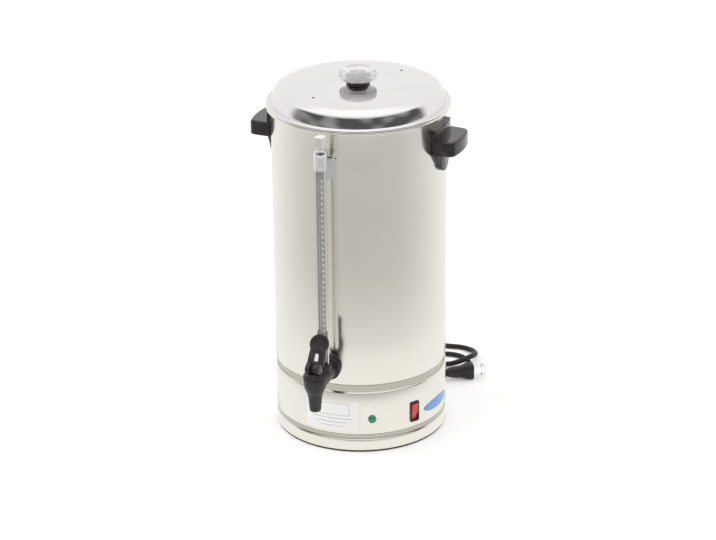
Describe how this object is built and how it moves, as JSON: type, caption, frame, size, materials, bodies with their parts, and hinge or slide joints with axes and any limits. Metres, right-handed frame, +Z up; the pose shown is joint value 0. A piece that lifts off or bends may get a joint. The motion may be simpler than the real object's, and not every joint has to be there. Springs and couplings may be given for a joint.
{
  "type": "coffee urn",
  "caption": "Round steel coffee urn on a skirted base, with a lift-off lid, two side handles, a sprung lever tap, a glass sight gauge, a percolator basket and a mains lead.",
  "frame": {"origin": "on the tank's axis, in the plane of the foot ring's underside, where the urn stands", "axes": "+Z up along the tank's axis, -Y out through the tap, +X to the right handle"},
  "size_m": [0.278, 0.4207, 0.477],
  "materials": {
    "polished_steel": "polished stainless steel",
    "lid_steel": "mirror-polished stainless steel",
    "inner_steel": "plain stainless steel",
    "basket_steel": "perforated sheet",
    "bright_chrome": "bright chrome plate",
    "cover_sheet": "dark painted sheet",
    "black_rubber": "matt rubber",
    "black_plastic": "black moulded plastic",
    "clear_plastic": "clear moulded plastic",
    "gauge_tube": "clear glass",
    "scale_print": "grey strip with light marks",
    "red_plastic": "red moulded plastic",
    "green_lens": "green lens",
    "white_label": "plain white sticker",
    "blue_badge": "plain blue sticker",
    "cast_aluminium": "cast",
    "element_sheath": "oxidised sheath",
    "ceramic": "glazed ceramic and white plastic",
    "control_can": "pressed can",
    "brass": "plain brass",
    "lead_cover": "silicone-covered leads"
  },
  "bodies": {
    "urn": {"tank": "polished_steel", "tank_bottom": "polished_steel", "base_skirt": "polished_steel", "bottom_cover": "cover_sheet", "foot_ring": "black_rubber", "tie_rods": "inner_steel", "rod_nuts": "inner_steel", "heating_plate": "cast_aluminium", "heating_element": "element_sheath", "heater_terminals": "ceramic", "thermostat": "control_can", "thermal_cutout": "control_can", "terminal_block": "ceramic", "earth_stud": "brass", "internal_leads": "lead_cover", "switch_housing": "black_plastic", "pilot_housing": "black_plastic", "pilot_lens": "green_lens", "front_label": "white_label", "badge": "blue_badge", "cord_gland": "black_rubber", "gland_nut": "black_plastic", "cord_lead": "black_rubber", "cord_coil": "black_rubber", "cord_tail": "black_rubber", "plug_body": "black_plastic", "plug_pins": "bright_chrome", "handle_right": "black_plastic", "handle_left": "black_plastic", "handle_screws": "inner_steel", "tap_body": "black_plastic", "shank_seals": "black_rubber", "shank_nut": "inner_steel", "bonnet": "black_plastic", "valve_spring": "inner_steel", "gauge_glass": "gauge_tube", "gauge_seals": "black_rubber", "gauge_guard": "bright_chrome", "gauge_scale": "scale_print", "gauge_sleeve": "bright_chrome", "gauge_cap": "bright_chrome", "gauge_bracket": "bright_chrome", "bracket_screw": "inner_steel"},
    "valve": {"valve_stem": "black_plastic", "seat_cup": "black_rubber", "lever_pin": "inner_steel"},
    "lever": {"lever": "black_plastic"},
    "rocker": {"rocker": "red_plastic"},
    "pump": {"pump_foot": "inner_steel", "pump_tube": "inner_steel"},
    "basket": {"basket": "basket_steel"},
    "spreader": {"basket_cover": "inner_steel"},
    "lid": {"lid": "lid_steel", "lid_lip": "lid_steel", "knob": "clear_plastic", "knob_collar": "black_plastic", "knob_stud": "inner_steel", "knob_nut": "inner_steel"}
  },
  "joints": [
    {"name": "pump_lift", "type": "slide", "parent": "urn", "child": "pump", "axis": [0, 0, 1], "range_m": [0, 0.36]},
    {"name": "basket_lift", "type": "slide", "parent": "pump", "child": "basket", "axis": [0, 0, 1], "range_m": [0, 0.11]},
    {"name": "spreader_lift", "type": "slide", "parent": "basket", "child": "spreader", "axis": [0, 0, 1], "range_m": [0, 0.03]},
    {"name": "lid_lift", "type": "slide", "parent": "spreader", "child": "lid", "axis": [0, 0, 1], "range_m": [0, 0.08]},
    {"name": "valve_lift", "type": "slide", "parent": "urn", "child": "valve", "axis": [0, 0, 1], "range_m": [0, 0.003], "deforming": ["valve_spring"]},
    {"name": "lever_hinge", "type": "hinge", "parent": "valve", "child": "lever", "pos_m": [0, -0.165, 0.13756], "axis": [1, 0, 0], "range_deg": [0, 35], "stiffness_Nm_per_rad": 0.015, "springref_deg": -34.38},
    {"name": "rocker_hinge", "type": "hinge", "parent": "urn", "child": "rocker", "pos_m": [0.09221, -0.05717, 0.0465], "axis": [-0.527, -0.8499, 0], "range_deg": [0, 20]}
  ],
  "couplings": [
    {"joint": "valve_lift", "follows": "lever_hinge", "m_per_rad": 0.0049}
  ]
}
